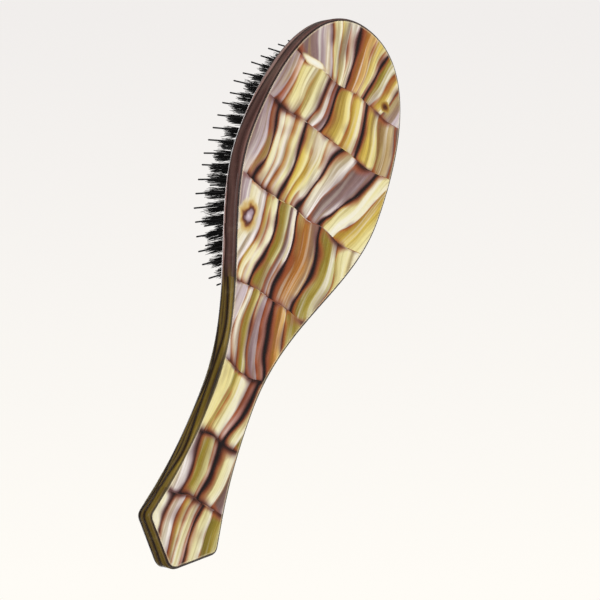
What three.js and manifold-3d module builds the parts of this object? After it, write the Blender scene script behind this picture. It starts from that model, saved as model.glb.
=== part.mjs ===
// A vanity hairbrush: a flat resin body with an oval pocket in its head, a domed rubber cushion whose
// rim bead sits in a groove of that pocket, and nine rows of boar tufts drawn through the cushion, each
// tuft with one longer nylon pin at its side.
// Millimetres. +X runs from the end of the handle to the top of the head, +Z is the way the bristles
// point, and the flat back of the brush lies on z = 0. The origin is the middle of the back's outline.
import * as THREE from "three";
import { mergeVertices } from "three/addons/utils/BufferGeometryUtils.js";
import Module from "manifold-3d";

// ---- Driving dimensions: the resin body -------------------------------------------------------
const BODY_LENGTH = 225;
const BODY_THICKNESS = 9;
const EDGE_RADIUS = 2;
const HEAD_HALF_WIDTH = 36.8;
const HEAD_WIDEST_X = 160;
const NECK_X = 67;
const NECK_HALF_WIDTH = 10.8;
const FLARE_X = 12.7;
const FLARE_HALF_WIDTH = 17.8;
const FLARE_ROUNDING = 2.6;
const END_ROUNDING = 4;
// How the outline's curves leave and meet those places.
const GRIP_SLOPE = -0.2;
const GRIP_CURVE_X = 26;
const GRIP_CURVE_HALF_WIDTH = 14.9;
const NECK_PULL_BACK = 27;
const NECK_PULL_FORWARD = 37;
const SHOULDER_PULL = 31;
const CROWN_PULL = 32;
const TOP_PULL = 28;

// ---- Driving dimensions: the pocket and the cushion --------------------------------------------
const PAD_X = 164;
const PAD_HALF_LENGTH = 55;
const PAD_HALF_WIDTH = 32;
const POCKET_FLOOR = 2.4;
const GROOVE_BOTTOM = 5.4;
const GROOVE_TOP = 7.6;
const GROOVE_DEPTH = 1.3;
const DOME_RISE = 4.5;
const DOME_POWER = 2.4;
const SHEET_THICKNESS = 1.6;
const VENT_RADIUS = 0.7;
const VENT_X = 136.5;
const VENT_Y = 2.9;
const FIT_GAP = 0.3;

// ---- Driving dimensions: the bristle field -----------------------------------------------------
const FIELD_HALF_LENGTH = 49.5;
const ROW_SPACING = 7;
const ROWS_EACH_SIDE = 4;
const OUTER_PITCH = 4.85;
const INNER_PITCH = 7;
const LONG_ROW_REACH = 0.95;
const SHORT_ROW_REACH = 0.77;
const LEAN_ALONG = 0.32;
const LEAN_ACROSS = 0.285;
const TUFT_HEIGHT = 13.8;
const PIN_HEIGHT = 17.6;
const TUFT_ROOT_HALF = 0.9;
const TUFT_TOP_HALF = 1.2;
const PIN_HALF = 0.35;
// How far the tufts and the pins stand from the middle of their row, towards the cushion's side.
const TUFT_OFFSET = -0.75;
const PIN_OFFSET = 0.8;
const STRIP_HEIGHT = 0.8;
const STRIP_GAP = 0.7;

const FIELD_HALF_WIDTH = ROW_SPACING * ROWS_EACH_SIDE;

// ---- Facet counts ------------------------------------------------------------------------------
const CURVE_POINTS = 12;
const EDGE_STEPS = 2;
const OVAL_SIDES = 32;
const DOME_STEPS = [0.6, 0.9];
const VENT_SIDES = 6;

const wasm = await Module();
wasm.setup();

function solidOf(geometry) {
  const bare = geometry.clone();
  bare.deleteAttribute("normal");
  bare.deleteAttribute("uv");
  const merged = mergeVertices(bare, 1e-4);
  return new wasm.Manifold(
    new wasm.Mesh({
      numProp: 3,
      vertProperties: merged.attributes.position.array,
      triVerts: new Uint32Array(merged.index.array),
    }),
  );
}

function geometryOf(solid) {
  const mesh = solid.getMesh();
  const geometry = new THREE.BufferGeometry();
  geometry.setAttribute("position", new THREE.BufferAttribute(mesh.vertProperties, 3));
  geometry.setIndex(new THREE.BufferAttribute(mesh.triVerts, 1));
  geometry.computeVertexNormals();
  return geometry;
}

const joined = (solids) => solids.reduce((whole, piece) => whole.add(piece));

// ---- The resin body ----------------------------------------------------------------------------

// Half of the outline, from the end of the handle to the top of the head, on the +Y side.
function halfOutline() {
  const flare = new THREE.Vector2(FLARE_X, FLARE_HALF_WIDTH);
  const neck = new THREE.Vector2(NECK_X, NECK_HALF_WIDTH);
  const widest = new THREE.Vector2(HEAD_WIDEST_X, HEAD_HALF_WIDTH);
  const endSlope = flare.clone().normalize();
  const sharpEnd = new THREE.Vector2((-END_ROUNDING * endSlope.x) / 2, 0);
  const endTangent = sharpEnd.clone().addScaledVector(endSlope, END_ROUNDING);
  const endControl = sharpEnd.clone().lerp(endTangent, 0.5);
  const beforeFlare = flare.clone().addScaledVector(endSlope, -FLARE_ROUNDING);
  const grip = new THREE.Vector2(1, GRIP_SLOPE).normalize();
  const afterFlare = flare.clone().addScaledVector(grip, FLARE_ROUNDING);
  const path = new THREE.Path();
  path.moveTo(0, 0);
  path.quadraticCurveTo(endControl.x, endControl.y, endTangent.x, endTangent.y);
  path.lineTo(beforeFlare.x, beforeFlare.y);
  path.quadraticCurveTo(flare.x, flare.y, afterFlare.x, afterFlare.y);
  path.bezierCurveTo(GRIP_CURVE_X, GRIP_CURVE_HALF_WIDTH, neck.x - NECK_PULL_BACK, neck.y, neck.x, neck.y);
  path.bezierCurveTo(
    neck.x + NECK_PULL_FORWARD,
    neck.y,
    widest.x - SHOULDER_PULL,
    widest.y,
    widest.x,
    widest.y,
  );
  path.bezierCurveTo(widest.x + CROWN_PULL, widest.y, BODY_LENGTH, TOP_PULL, BODY_LENGTH, 0);
  return path.getPoints(CURVE_POINTS);
}

function bodyOutline() {
  const side = halfOutline();
  const mirrored = side.slice(1, -1).reverse().map((p) => new THREE.Vector2(p.x, -p.y));
  return new THREE.Shape([...side, ...mirrored]);
}

// The corners of an oval round the middle of the cushion.
function ovalCorners(halfLength, halfWidth) {
  return Array.from({ length: OVAL_SIDES }, (_, i) => {
    const angle = (2 * Math.PI * i) / OVAL_SIDES;
    return new THREE.Vector2(PAD_X + halfLength * Math.cos(angle), halfWidth * Math.sin(angle));
  });
}

// An upright oval prism of the cushion's plan, grown by a margin.
function ovalPrism(margin, bottom, top) {
  const outline = new THREE.Shape(ovalCorners(PAD_HALF_LENGTH + margin, PAD_HALF_WIDTH + margin));
  const geometry = new THREE.ExtrudeGeometry(outline, { depth: top - bottom, bevelEnabled: false });
  return solidOf(geometry.translate(0, 0, bottom));
}

function bodyGeometry() {
  const plate = new THREE.ExtrudeGeometry(bodyOutline(), {
    depth: BODY_THICKNESS - 2 * EDGE_RADIUS,
    bevelEnabled: true,
    bevelThickness: EDGE_RADIUS,
    bevelSize: EDGE_RADIUS,
    bevelOffset: -EDGE_RADIUS,
    bevelSegments: EDGE_STEPS,
  });
  const pocket = ovalPrism(0, POCKET_FLOOR, BODY_THICKNESS + 1);
  const groove = ovalPrism(GROOVE_DEPTH, GROOVE_BOTTOM, GROOVE_TOP);
  const body = solidOf(plate.translate(0, 0, EDGE_RADIUS));
  return geometryOf(body.subtract(pocket.add(groove)));
}

// ---- The cushion -------------------------------------------------------------------------------

const ovalShare = (x, y) => Math.hypot((x - PAD_X) / PAD_HALF_LENGTH, y / PAD_HALF_WIDTH);

const cushionTop = (share) => BODY_THICKNESS + DOME_RISE * (1 - share ** DOME_POWER);

// A closed solid through oval loops, each with its half axes and height; the first and last loops
// have no size, so they are points on the axis.
function ovalLoft(loops) {
  const rings = loops.slice(1, -1);
  const position = [PAD_X, 0, loops[0].z];
  for (const ring of rings) {
    ovalCorners(ring.a, ring.b).forEach((corner) => position.push(corner.x, corner.y, ring.z));
  }
  position.push(PAD_X, 0, loops.at(-1).z);
  const last = position.length / 3 - 1;
  const index = [];
  for (let i = 0; i < OVAL_SIDES; i++) {
    const next = (i + 1) % OVAL_SIDES;
    index.push(0, 1 + i, 1 + next);
    for (let r = 0; r < rings.length - 1; r++) {
      const upper = 1 + r * OVAL_SIDES;
      const lower = upper + OVAL_SIDES;
      index.push(upper + i, lower + i, lower + next);
      index.push(upper + i, lower + next, upper + next);
    }
    const bottom = 1 + (rings.length - 1) * OVAL_SIDES;
    index.push(last, bottom + next, bottom + i);
  }
  const geometry = new THREE.BufferGeometry();
  geometry.setAttribute("position", new THREE.Float32BufferAttribute(position, 3));
  geometry.setIndex(index);
  return geometry;
}

// A seat is where a bristle leaves the cushion: its point, its lean per millimetre of height, and the
// turn of its row there.
function seatAt(x, y, turn) {
  const lean = new THREE.Vector3(
    (LEAN_ALONG * (x - PAD_X)) / FIELD_HALF_LENGTH,
    (LEAN_ACROSS * y) / FIELD_HALF_WIDTH,
    1,
  );
  const point = new THREE.Vector3(x, y, cushionTop(ovalShare(x, y)));
  return { point, lean, turn };
}

// The seats of row `row`, from -4 to 4 with 0 in the middle. Every second row stops short, because the
// rows draw together towards the ends of the oval.
function rowSeats(row, offset) {
  const shift = row < 0 ? -offset : offset;
  const reach = row % 2 === 0 ? LONG_ROW_REACH : SHORT_ROW_REACH;
  const from = Math.acos(reach);
  const curve = new THREE.EllipseCurve(
    PAD_X,
    0,
    FIELD_HALF_LENGTH,
    ROW_SPACING * row,
    Math.PI - from,
    from,
    true,
  );
  const pitch = Math.abs(row) === ROWS_EACH_SIDE ? OUTER_PITCH : INNER_PITCH;
  const gaps = Math.round(curve.getLength() / pitch);
  return curve.getSpacedPoints(gaps).map((p, i) => {
    const tangent = curve.getTangentAt(i / gaps);
    const turn = Math.atan2(tangent.y, tangent.x);
    return seatAt(p.x - shift * Math.sin(turn), p.y + shift * Math.cos(turn), turn);
  });
}

const stripDepth = SHEET_THICKNESS + STRIP_GAP + STRIP_HEIGHT;

// A row of bristles as one comb: a root strip behind the cushion, with the cushion's own curve, and a
// tapered tooth at each seat. Each tooth has six corners on either side of the row: the strip's
// bottom, the tooth's root and the tooth's top, at its back and at its front.
function combGeometry(seats, height, rootHalf, topHalf) {
  const levels = [
    { rise: -stripDepth, half: rootHalf },
    { rise: STRIP_HEIGHT - stripDepth, half: rootHalf },
    { rise: height, half: topHalf },
  ];
  const position = [];
  for (const seat of seats) {
    const along = new THREE.Vector3(Math.cos(seat.turn), Math.sin(seat.turn), 0);
    const across = new THREE.Vector3(-along.y, along.x, 0);
    for (const side of [1, -1]) {
      for (const { rise, half } of levels) {
        for (const end of [-1, 1]) {
          const corner = seat.point.clone().addScaledVector(seat.lean, rise);
          corner.addScaledVector(along, end * half).addScaledVector(across, side * half);
          position.push(...corner);
        }
      }
    }
  }
  const [back, front] = [0, 1];
  const [bottom, root, top] = [0, 2, 4];
  const corner = (tooth, side, level, end) => 12 * tooth + 6 * side + level + end;
  const index = [];
  const quad = (a, b, c, d) => index.push(a, b, c, a, c, d);
  // A panel that joins the two sides of the row, from one edge to the next.
  const panel = (toothA, levelA, endA, toothB, levelB, endB) =>
    quad(
      corner(toothA, 0, levelA, endA),
      corner(toothA, 1, levelA, endA),
      corner(toothB, 1, levelB, endB),
      corner(toothB, 0, levelB, endB),
    );
  seats.forEach((_, t) => {
    panel(t, root, back, t, top, back);
    panel(t, top, back, t, top, front);
    panel(t, top, front, t, root, front);
    panel(t, bottom, front, t, bottom, back);
    for (const side of [0, 1]) {
      const facing = (a, b, c, d) => (side ? quad(a, b, c, d) : quad(d, c, b, a));
      const at = (level, end) => corner(t, side, level, end);
      facing(at(bottom, back), at(bottom, front), at(root, front), at(root, back));
      facing(at(root, back), at(root, front), at(top, front), at(top, back));
      if (t + 1 < seats.length) {
        const next = (level) => corner(t + 1, side, level, back);
        facing(at(bottom, front), next(bottom), next(root), at(root, front));
      }
    }
    if (t + 1 < seats.length) {
      panel(t, root, front, t + 1, root, back);
      panel(t + 1, bottom, back, t, bottom, front);
    }
  });
  panel(0, bottom, back, 0, root, back);
  panel(seats.length - 1, root, front, seats.length - 1, bottom, front);
  const geometry = new THREE.BufferGeometry();
  geometry.setAttribute("position", new THREE.Float32BufferAttribute(position, 3));
  geometry.setIndex(index);
  geometry.computeVertexNormals();
  return geometry;
}

const rows = Array.from({ length: 2 * ROWS_EACH_SIDE + 1 }, (_, i) => i - ROWS_EACH_SIDE);

// One opening for each tuft and its pin, twice as deep as the sheet on either side of it.
function tuftOpenings() {
  const halfAlong = TUFT_ROOT_HALF + 2 * FIT_GAP;
  const pinSide = PIN_OFFSET + PIN_HALF;
  const tuftSide = TUFT_OFFSET - TUFT_ROOT_HALF;
  const halfAcross = (pinSide - tuftSide) / 2 + FIT_GAP;
  const middle = (pinSide + tuftSide) / 2;
  return rows.flatMap((row) =>
    rowSeats(row, middle).map((seat) => {
      const opening = new THREE.BoxGeometry(2 * halfAlong, 2 * halfAcross, 1);
      const side = new THREE.Vector3(-Math.sin(seat.turn), Math.cos(seat.turn), 0);
      const forward = new THREE.Vector3(side.y, -side.x, 0);
      const rise = seat.lean.clone().multiplyScalar(4 * SHEET_THICKNESS);
      const centre = seat.point.clone().addScaledVector(seat.lean, -SHEET_THICKNESS / 2);
      const frame = new THREE.Matrix4().makeBasis(forward, side, rise).setPosition(centre);
      return solidOf(opening.applyMatrix4(frame));
    }),
  );
}

function cushionGeometry() {
  const oval = (grow, z) => ({ a: PAD_HALF_LENGTH + grow, b: PAD_HALF_WIDTH + grow, z });
  const share = (k, z) => ({ a: PAD_HALF_LENGTH * k, b: PAD_HALF_WIDTH * k, z });
  const upper = DOME_STEPS.map((k) => share(k, cushionTop(k)));
  const lower = upper.map((loop) => ({ ...loop, z: loop.z - SHEET_THICKNESS })).reverse();
  const beadTop = GROOVE_TOP - FIT_GAP;
  const beadBottom = GROOVE_BOTTOM + FIT_GAP;
  const beadReach = GROOVE_DEPTH - FIT_GAP;
  const loops = [
    { z: cushionTop(0) },
    ...upper,
    oval(-FIT_GAP, cushionTop(1) - FIT_GAP),
    oval(-FIT_GAP, beadTop),
    oval(beadReach, beadTop),
    oval(beadReach, beadBottom),
    oval(-FIT_GAP - SHEET_THICKNESS, beadBottom),
    oval(-FIT_GAP - SHEET_THICKNESS, beadTop),
    ...lower,
    { z: cushionTop(0) - SHEET_THICKNESS },
  ];
  const vent = new THREE.CylinderGeometry(VENT_RADIUS, VENT_RADIUS, 4 * SHEET_THICKNESS, VENT_SIDES);
  vent.rotateX(Math.PI / 2).translate(VENT_X, VENT_Y, cushionTop(ovalShare(VENT_X, VENT_Y)));
  const holes = joined([...tuftOpenings(), solidOf(vent)]);
  return geometryOf(solidOf(ovalLoft(loops)).subtract(holes));
}

// ---- Materials and assembly --------------------------------------------------------------------
const finish = (color, roughness, metalness) =>
  new THREE.MeshStandardMaterial({ color, roughness, metalness });

const part = new THREE.Group();

function addPiece(name, geometry, material) {
  const mesh = new THREE.Mesh(geometry, material);
  mesh.name = name;
  mesh.position.x = -BODY_LENGTH / 2;
  part.add(mesh);
}

addPiece("resin_body", bodyGeometry(), finish(0xb59a58, 0.15, 0));
addPiece("rubber_cushion", cushionGeometry(), finish(0x17161a, 0.7, 0));
rows.forEach((row, i) => {
  const tufts = rowSeats(row, TUFT_OFFSET);
  const pins = rowSeats(row, PIN_OFFSET);
  const tuftComb = combGeometry(tufts, TUFT_HEIGHT, TUFT_ROOT_HALF, TUFT_TOP_HALF);
  const pinComb = combGeometry(pins, PIN_HEIGHT, PIN_HALF, PIN_HALF);
  addPiece(`tuft_row_${i + 1}`, tuftComb, finish(0x0e0d0d, 0.8, 0));
  addPiece(`pin_row_${i + 1}`, pinComb, finish(0x08080a, 0.4, 0));
});

export default part;
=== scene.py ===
"""A vanity hairbrush: a polished tortoise-pattern resin body, a domed black rubber cushion, and nine rows
of boar tufts with one nylon pin beside each tuft.

Lengths are in millimetres where a name or a comment says so, measured as the part is designed: x from the
end of the handle, y across, z up from the flat back. `place` turns them into the scene's metres.
"""

import math

import bmesh
import bpy
import numpy as np
from mathutils import Matrix, Vector, geometry


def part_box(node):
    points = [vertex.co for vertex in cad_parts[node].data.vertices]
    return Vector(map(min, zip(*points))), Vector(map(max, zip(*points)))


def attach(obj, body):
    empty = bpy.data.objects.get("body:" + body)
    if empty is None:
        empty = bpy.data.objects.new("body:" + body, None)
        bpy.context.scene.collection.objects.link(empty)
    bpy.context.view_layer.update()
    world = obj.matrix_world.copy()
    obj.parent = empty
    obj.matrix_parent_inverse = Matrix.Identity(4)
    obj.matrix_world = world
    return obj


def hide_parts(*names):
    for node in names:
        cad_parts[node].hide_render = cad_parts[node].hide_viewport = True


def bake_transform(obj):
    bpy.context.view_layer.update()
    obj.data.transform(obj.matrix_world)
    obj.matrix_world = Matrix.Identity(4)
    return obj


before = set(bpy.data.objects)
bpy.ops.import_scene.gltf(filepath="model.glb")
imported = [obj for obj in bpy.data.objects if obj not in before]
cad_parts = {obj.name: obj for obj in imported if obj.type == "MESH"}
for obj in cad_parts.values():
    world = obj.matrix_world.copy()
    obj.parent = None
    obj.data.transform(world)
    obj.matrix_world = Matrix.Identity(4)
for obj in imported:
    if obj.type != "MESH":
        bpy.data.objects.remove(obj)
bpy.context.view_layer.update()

MM = 0.001
HANDLE_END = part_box("resin_body")[0].x
BODY_LENGTH = (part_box("resin_body")[1].x - HANDLE_END) / MM
BODY_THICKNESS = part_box("resin_body")[1].z / MM

# ---- The resin body, in millimetres ----
HEAD_HALF_WIDTH = 36.8
HEAD_WIDEST_X = 160
NECK_X = 67
NECK_HALF_WIDTH = 10.8
FLARE = np.array([12.7, 17.8])
FLARE_ROUNDING = 2.6
END_ROUNDING = 4
GRIP_SLOPE = -0.2
GRIP_CURVE = (26, 14.9)
NECK_PULL_BACK = 27
NECK_PULL_FORWARD = 37
SHOULDER_PULL = 31
CROWN_PULL = 32
TOP_PULL = 28
BACK_ROUNDING = 1.5
FRONT_ROUNDING = 3.0
LIP_ROUNDING = 0.5
OUTLINE_STEP = 0.7
# The width of the flat strip kept beside each rounding, so that the face beyond it shades flat.
FACE_MARGIN = 0.35
BACK_STEPS = 8
FLANK_STEPS = 5
FRONT_STEPS = 10
LIP_STEPS = 6
SHARP_ANGLE = math.radians(38)

# ---- The pocket and the cushion, in millimetres ----
PAD_X = 164
PAD_HALF_LENGTH = 55
PAD_HALF_WIDTH = 32
POCKET_FLOOR = 2.4
GROOVE_BOTTOM = 5.4
GROOVE_TOP = 7.6
GROOVE_DEPTH = 1.3
DOME_RISE = 4.5
DOME_POWER = 2.4
SHEET_THICKNESS = 1.6
FIT_GAP = 0.3
VENT = (136.5, 2.9)
VENT_RADIUS = 0.7
VENT_LIP = 0.25
VENT_DEPTH = 1.2
OVAL_SIDES = 480
DOME_RINGS = 110
# Below 1, this crowds the dome's rings towards its edge.
RING_POWER = 0.85
UNDERSIDE_SHARES = (0.93, 0.8, 0.6, 0.4, 0.2, 0.05)
CROWN_SINK = 0.05
# How far the bead's corners are cut back from its side and from its top or bottom.
BEAD_CORNER = [(0.4, 0.0), (0.1, 0.12), (0.0, 0.5)]
# The dome turns down into the pocket this far below the body's front.
RIM_DROP = 0.6
BEAD_FILLET = 0.2
# The rubber round a strand: the radius of its raised collar, the collar's height and the dip's depth.
TUFT_COLLAR = (1.25, 0.32, 0.35)
PIN_COLLAR = (0.55, 0.14, 0.2)

# ---- The bristle field, in millimetres ----
FIELD_HALF_LENGTH = 49.5
ROW_SPACING = 7
ROWS_EACH_SIDE = 4
OUTER_PITCH = 4.85
INNER_PITCH = 7
LONG_ROW_REACH = 0.95
SHORT_ROW_REACH = 0.77
LEAN_ALONG = 0.32
LEAN_ACROSS = 0.285
FIELD_HALF_WIDTH = ROW_SPACING * ROWS_EACH_SIDE
TUFT_HEIGHT = 13.8
TUFT_ROOT_RADIUS = 1.35
TUFT_TOP_RADIUS = 2.3
TUFT_OFFSET = -0.75
ROW_STEPS = 400
ROOT_DEPTH = 1.2
BRISTLES = 78
BRISTLE_RADIUS = 0.18
BRISTLE_TAPER = 0.5
BRISTLE_TIP = 0.35
BRISTLE_RINGS = 5
BRISTLE_SIDES = 3
SPREAD_POWER = 1.5
TALLEST_EXTRA = 0.5
EDGE_TRIM = 4.5
PIN_HEIGHT = 17.4
PIN_RADIUS = 0.33
PIN_OFFSET = 0.8
PIN_SIDES = 8
SHAFT_RINGS = 6
TIP_RINGS = 4
# How much single strands differ: as a share of the lean or height, or in millimetres.
TUFT_LEAN_SPREAD = 0.025
TUFT_HEIGHT_SPREAD = 0.02
TRIM_SPREAD = 0.9
STRAY_SPREAD = 0.3
BOW_SPREAD = 0.12
PIN_LEAN_SPREAD = 0.02
PIN_HEIGHT_SPREAD = 0.006

SEED = 613


def place(points):
    """Design millimetres to the scene's metres."""
    moved = np.array(points, float).reshape(-1, 3) * MM
    moved[:, 0] += HANDLE_END
    return moved


def add_object(name, points, faces):
    """A smooth-shaded mesh object from points in design millimetres."""
    mesh = bpy.data.meshes.new(name)
    mesh.from_pydata(place(points).tolist(), [], [list(map(int, face)) for face in faces])
    mesh.validate()
    mesh.shade_smooth()
    made = bpy.data.objects.new(name, mesh)
    bpy.context.scene.collection.objects.link(made)
    return made


# ---- Curves ----


def quadratic(start, control, end, steps=24):
    """Points on a Bezier curve with one control point."""
    t = np.linspace(0, 1, steps)[:, None]
    return (1 - t) ** 2 * start + 2 * t * (1 - t) * control + t**2 * end


def cubic(start, leaving, arriving, end, steps=120):
    """Points on a Bezier curve with two control points."""
    t = np.linspace(0, 1, steps)[:, None]
    return (
        (1 - t) ** 3 * start
        + 3 * t * (1 - t) ** 2 * leaving
        + 3 * t**2 * (1 - t) * arriving
        + t**3 * end
    )


def unit(vector):
    return np.array(vector, float) / np.linalg.norm(vector)


def even_steps(path, count):
    """The path as `count` points at equal distances along it."""
    reach = np.concatenate([[0], np.cumsum(np.linalg.norm(np.diff(path, axis=0), axis=1))])
    wanted = np.linspace(0, reach[-1], count)
    return np.stack([np.interp(wanted, reach, path[:, k]) for k in range(2)], axis=1)


def path_length(path):
    return float(np.linalg.norm(np.diff(path, axis=0), axis=1).sum())


def body_outline():
    """The body's outline, from the end of the handle up the +Y side to the top of the head and back."""
    neck = np.array([NECK_X, NECK_HALF_WIDTH], float)
    widest = np.array([HEAD_WIDEST_X, HEAD_HALF_WIDTH], float)
    top = np.array([BODY_LENGTH, 0.0])
    end_slope = unit(FLARE)
    sharp_end = np.array([-END_ROUNDING * end_slope[0] / 2, 0.0])
    end_tangent = sharp_end + END_ROUNDING * end_slope
    before_flare = FLARE - FLARE_ROUNDING * end_slope
    after_flare = FLARE + FLARE_ROUNDING * unit([1, GRIP_SLOPE])
    along = np.array([1.0, 0.0])
    pieces = [
        quadratic(np.zeros(2), (sharp_end + end_tangent) / 2, end_tangent),
        quadratic(before_flare, FLARE, after_flare),
        cubic(after_flare, np.array(GRIP_CURVE), neck - NECK_PULL_BACK * along, neck),
        cubic(neck, neck + NECK_PULL_FORWARD * along, widest - SHOULDER_PULL * along, widest)[1:],
        cubic(widest, widest + CROWN_PULL * along, top + np.array([0, TOP_PULL]), top)[1:],
    ]
    path = np.concatenate(pieces)
    side = even_steps(path, round(path_length(path) / OUTLINE_STEP))
    side[0] = (0, 0)
    mirrored = side[1:-1][::-1] * np.array([1, -1])
    return np.concatenate([side, mirrored])


def outward(outline):
    """The outward direction at each point of a closed outline that runs clockwise seen from above."""
    tangent = np.roll(outline, -1, axis=0) - np.roll(outline, 1, axis=0)
    normal = np.stack([-tangent[:, 1], tangent[:, 0]], axis=1)
    return normal / np.linalg.norm(normal, axis=1)[:, None]


def oval(grow, count=OVAL_SIDES):
    """The pocket's oval, grown by `grow` all round."""
    angle = np.linspace(0, 2 * math.pi, count, endpoint=False)
    return np.stack(
        [
            PAD_X + (PAD_HALF_LENGTH + grow) * np.cos(angle),
            (PAD_HALF_WIDTH + grow) * np.sin(angle),
        ],
        axis=1,
    )


def quarter_round(radius, steps):
    """(inset, rise) pairs from the flat face round to the wall."""
    angle = np.linspace(0, math.pi / 2, steps)
    return [(radius * (1 - math.sin(a)), radius * (1 - math.cos(a))) for a in angle]


class Loops:
    """A mesh that grows loop by loop; each loop has as many points as the one that it joins."""

    def __init__(self):
        self.points = []
        self.faces = []

    def add(self, plan, height):
        start = sum(len(p) for p in self.points)
        rise = np.full(len(plan), height) if np.isscalar(height) else height
        self.points.append(np.column_stack([plan, rise]))
        return list(range(start, start + len(plan)))

    def join(self, first, second):
        count = len(first)
        for i in range(count):
            k = (i + 1) % count
            self.faces.append((first[i], first[k], second[k], second[i]))

    def run(self, loops):
        """Adds (plan, height) loops and joins each one to the next."""
        made = [self.add(plan, height) for plan, height in loops]
        for first, second in zip(made, made[1:]):
            self.join(first, second)
        return made

    def all_points(self):
        return np.concatenate(self.points)


def face_outward(made):
    """Turns every face of a closed mesh to look out."""
    mesh = bmesh.new()
    mesh.from_mesh(made.data)
    bmesh.ops.remove_doubles(mesh, verts=mesh.verts, dist=1e-7)
    bmesh.ops.recalc_face_normals(mesh, faces=mesh.faces)
    mesh.to_mesh(made.data)
    mesh.free()


# ---- The resin body ----


def close_back(loops, ring):
    """Strips across the flat back, from one side of its outline to the other."""
    count = len(ring)
    half = count // 2
    loops.faces.append((ring[0], ring[1], ring[-1]))
    for k in range(1, half - 1):
        loops.faces.append((ring[k], ring[k + 1], ring[count - k - 1], ring[count - k]))
    loops.faces.append((ring[half - 1], ring[half], ring[half + 1]))


def make_body():
    outline = body_outline()
    normal = outward(outline)
    top = BODY_THICKNESS
    profile = [(BACK_ROUNDING + FACE_MARGIN, 0.0)]
    profile += quarter_round(BACK_ROUNDING, BACK_STEPS)
    flank = np.linspace(BACK_ROUNDING, top - FRONT_ROUNDING, FLANK_STEPS)[1:-1]
    profile += [(0.0, z) for z in flank]
    front = quarter_round(FRONT_ROUNDING, FRONT_STEPS)[::-1]
    profile += [(inset, top - rise) for inset, rise in front]
    profile += [(FRONT_ROUNDING + FACE_MARGIN, top)]
    loops = Loops()
    skin = loops.run([(outline - normal * inset, z) for inset, z in profile])
    close_back(loops, skin[0])

    pocket = [(LIP_ROUNDING + FACE_MARGIN, top)]
    pocket += [(inset, top - rise) for inset, rise in quarter_round(LIP_ROUNDING, LIP_STEPS)]
    pocket += [
        (0.0, GROOVE_TOP),
        (GROOVE_DEPTH, GROOVE_TOP),
        (GROOVE_DEPTH, GROOVE_BOTTOM),
        (0.0, GROOVE_BOTTOM),
        (0.0, POCKET_FLOOR + LIP_ROUNDING),
        (-LIP_ROUNDING, POCKET_FLOOR),
    ]
    wall = loops.run([(oval(grow, OVAL_SIDES // 2), z) for grow, z in pocket])
    loops.faces.append(tuple(wall[-1]))

    points = loops.all_points()
    rims = (skin[-1], wall[0])
    both = rims[0] + rims[1]
    for triangle in geometry.tessellate_polygon([[Vector(points[i]) for i in rim] for rim in rims]):
        loops.faces.append(tuple(both[i] for i in triangle))
    body = add_object("polished_resin_body", points, loops.faces)
    face_outward(body)
    body.data.shade_smooth()
    body.data.set_sharp_from_angle(angle=SHARP_ANGLE)
    return body


# ---- Seats of the bristles ----


def oval_share(x, y):
    """How far out a place lies on the cushion: 0 at its middle and 1 at its edge."""
    return np.hypot((x - PAD_X) / PAD_HALF_LENGTH, y / PAD_HALF_WIDTH)


def cushion_top(share):
    """The dome's height at that share of the way out."""
    return BODY_THICKNESS + DOME_RISE * (1 - share**DOME_POWER)


def row_seats(row, offset):
    """(point, lean per millimetre of height, turn) of each bristle seat of a row, -4 to 4."""
    shift = -offset if row < 0 else offset
    reach = LONG_ROW_REACH if row % 2 == 0 else SHORT_ROW_REACH
    begin = math.acos(reach)
    angle = np.linspace(math.pi - begin, begin, ROW_STEPS)
    path = np.stack(
        [PAD_X + FIELD_HALF_LENGTH * np.cos(angle), ROW_SPACING * row * np.sin(angle)], axis=1
    )
    pitch = OUTER_PITCH if abs(row) == ROWS_EACH_SIDE else INNER_PITCH
    gaps = round(path_length(path) / pitch)
    spots = even_steps(path, gaps + 1)
    seats = []
    for x, y in spots:
        here = math.acos(max(-1.0, min(1.0, (x - PAD_X) / FIELD_HALF_LENGTH)))
        turn = math.atan2(-ROW_SPACING * row * math.cos(here), FIELD_HALF_LENGTH * math.sin(here))
        px = x - shift * math.sin(turn)
        py = y + shift * math.cos(turn)
        lean = np.array(
            [
                LEAN_ALONG * (px - PAD_X) / FIELD_HALF_LENGTH,
                LEAN_ACROSS * py / FIELD_HALF_WIDTH,
                1.0,
            ]
        )
        point = np.array([px, py, cushion_top(oval_share(px, py))])
        seats.append((point, lean, turn))
    return seats


ROWS = range(-ROWS_EACH_SIDE, ROWS_EACH_SIDE + 1)


# ---- The cushion ----


def pucker(x, y, centres, collar):
    """Height change of the rubber round each strand: a raised collar with a dip inside it."""
    reach, rise, sink = collar
    change = np.zeros(len(x))
    for cx, cy in centres:
        distance = np.hypot(x - cx, y - cy) / reach
        near = distance < 3
        d = distance[near]
        change[near] += rise * np.exp(-(((d - 1) / 0.35) ** 2)) - sink * np.exp(-((d / 0.6) ** 2))
    return change


def seat_places(offset):
    """The x and y of every bristle seat at that offset from its row."""
    return [seat[0][:2] for row in ROWS for seat in row_seats(row, offset)]


def dome_loop(plan, tufts, pins):
    """The dome's height along one ring, with its collars and the vent's lip and pit."""
    x, y = plan[:, 0], plan[:, 1]
    height = cushion_top(oval_share(x, y))
    height = height + pucker(x, y, tufts, TUFT_COLLAR)
    height += pucker(x, y, pins, PIN_COLLAR)
    vent = np.hypot(x - VENT[0], y - VENT[1]) / VENT_RADIUS
    height += VENT_LIP * np.exp(-(((vent - 1.7) / 0.5) ** 2)) - VENT_DEPTH * np.exp(-(vent**4))
    return plan, height


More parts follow.
